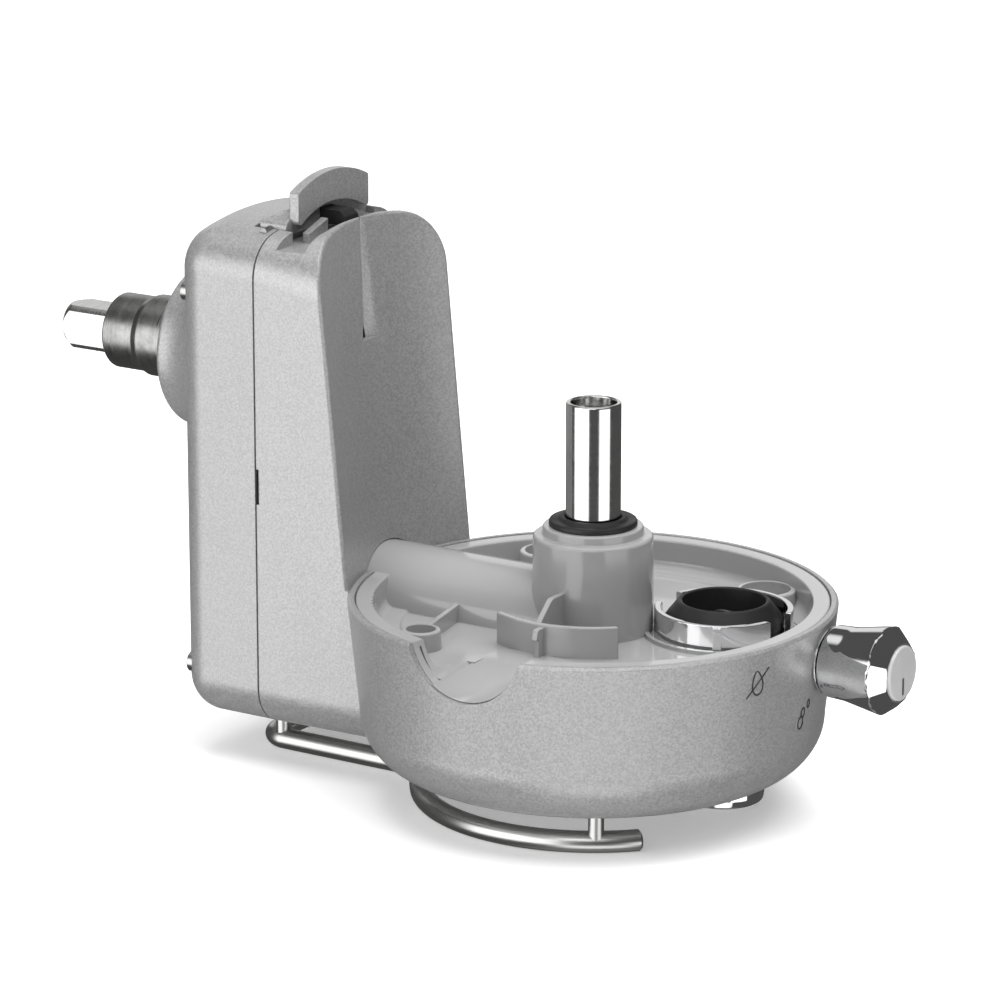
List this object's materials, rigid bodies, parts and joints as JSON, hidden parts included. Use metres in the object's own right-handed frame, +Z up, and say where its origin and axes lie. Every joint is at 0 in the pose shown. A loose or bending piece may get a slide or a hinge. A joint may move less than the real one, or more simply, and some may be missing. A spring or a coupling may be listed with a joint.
{
  "type": "mixer attachment drive base",
  "caption": "Drive base of a stand-mixer juicing attachment: gear tower with hub plug, round bowl housing, upright drive shaft, juice tap and wire stand.",
  "frame": {"origin": "middle of the object's box on the surface it stands on", "axes": "+Z up along the drive shaft; +Y from the bowl towards the tower, its hub sleeve and the mixer; +X to the right when seen from the knob's side"},
  "size_m": [0.1782, 0.355, 0.2234],
  "materials": {
    "silver_paint": "satin metallic flake paint",
    "tray_grey": "glossy grey moulding",
    "polished_steel": "polished, fine turning marks",
    "chrome": "bright plating",
    "black_rubber": "matt",
    "black_plastic": "satin",
    "satin_wire": "satin drawn wire",
    "turned_steel": "dull turned, scuffed",
    "drive_steel": "bright machined",
    "satin_grey": "satin",
    "gear_steel": "machined",
    "bronze": "plain bearing bronze",
    "zinc_steel": "bright zinc",
    "cast_alloy": "as cast",
    "white_plastic": "plain"
  },
  "bodies": {
    "root": {"bowl_housing": "silver_paint", "front_housing": "silver_paint", "rear_housing": "silver_paint", "seam_gasket": "black_rubber", "housing_screws": "zinc_steel", "tray": "tray_grey", "bowl_sockets": "tray_grey", "tray_pillars": "white_plastic", "tray_screws": "zinc_steel", "gear_plate": "zinc_steel", "pinion_block": "cast_alloy", "input_bushes": "bronze", "layshaft_bushes": "bronze", "spindle_bushes": "bronze", "idler_pin": "gear_steel", "hub_sleeve": "turned_steel", "spindle_seal": "black_rubber", "tap_body": "black_plastic", "outlet_gasket": "black_rubber", "collar_ring": "chrome", "outlet_nozzle": "chrome", "outlet_nut": "white_plastic", "knob_collar": "chrome", "latch_pin": "gear_steel", "latch_well": "black_plastic", "latch_spring": "zinc_steel", "wire_stand": "satin_wire", "stand_posts": "satin_wire", "stand_screws": "zinc_steel"},
    "input": {"input_shaft": "drive_steel", "input_gear": "gear_steel", "input_clip": "zinc_steel"},
    "idler": {"idler_gear": "gear_steel", "idler_bush": "bronze"},
    "countershaft": {"layshaft": "gear_steel", "output_gear": "gear_steel", "bevel_pinion": "gear_steel", "layshaft_clip": "zinc_steel"},
    "drive": {"spindle": "polished_steel", "spindle_screw": "zinc_steel", "bevel_gear": "gear_steel", "thrust_collar": "gear_steel"},
    "tap": {"knob": "chrome", "knob_disc": "satin_grey", "valve_stem": "gear_steel", "valve_flap": "black_plastic"},
    "latch": {"latch_lever": "silver_paint", "latch_hook": "black_plastic"}
  },
  "joints": [
    {"name": "input_spin", "type": "hinge", "parent": "root", "child": "input", "pos_m": [0, 0.121, 0.1495], "axis": [0, 1, 0], "continuous": true},
    {"name": "idler_spin", "type": "hinge", "parent": "root", "child": "idler", "pos_m": [0, 0.069, 0.10575], "axis": [0, 1, 0], "continuous": true},
    {"name": "countershaft_spin", "type": "hinge", "parent": "root", "child": "countershaft", "pos_m": [0, 0.021, 0.062], "axis": [0, 1, 0], "continuous": true},
    {"name": "spindle_spin", "type": "hinge", "parent": "root", "child": "drive", "pos_m": [0, -0.059, 0.097], "axis": [0, 0, 1], "continuous": true},
    {"name": "tap_turn", "type": "hinge", "parent": "root", "child": "tap", "pos_m": [0.0203, -0.159, 0.062], "axis": [0, 1, 0], "range_deg": [0, 90]},
    {"name": "latch_tilt", "type": "hinge", "parent": "root", "child": "latch", "pos_m": [0, 0.0655, 0.204], "axis": [-1, 0, 0], "range_deg": [0, 20], "stiffness_Nm_per_rad": 0.25, "springref_deg": -11.46, "deforming": ["latch_spring"]}
  ],
  "couplings": [
    {"joint": "idler_spin", "follows": "input_spin", "ratio": -0.66667},
    {"joint": "countershaft_spin", "follows": "input_spin", "ratio": 1},
    {"joint": "spindle_spin", "follows": "input_spin", "ratio": 0.75}
  ]
}
